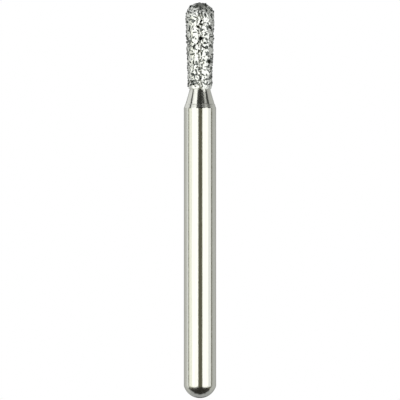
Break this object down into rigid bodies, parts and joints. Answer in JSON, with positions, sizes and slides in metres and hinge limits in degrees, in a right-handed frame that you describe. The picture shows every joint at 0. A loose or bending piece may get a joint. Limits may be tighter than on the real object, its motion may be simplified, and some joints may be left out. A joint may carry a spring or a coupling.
{
  "type": "dental bur",
  "caption": "Rounded, slightly pear-shaped diamond dental bur: grit-coated head on a short conical neck, with a plain friction-grip shank and a domed shank end.",
  "frame": {"origin": "lowest point of the domed shank end, on the bur's axis", "axes": "+Z along the axis from the shank end to the head"},
  "size_m": [0.0016, 0.0016, 0.0196],
  "materials": {
    "ground_steel": "centreless-ground stainless steel",
    "plated_nickel": "electroplated nickel, satin",
    "diamond": "crushed diamond grit"
  },
  "bodies": {
    "root": {"steel_blank": "ground_steel", "nickel_bond": "plated_nickel", "diamond_grit": "diamond"}
  },
  "joints": []
}
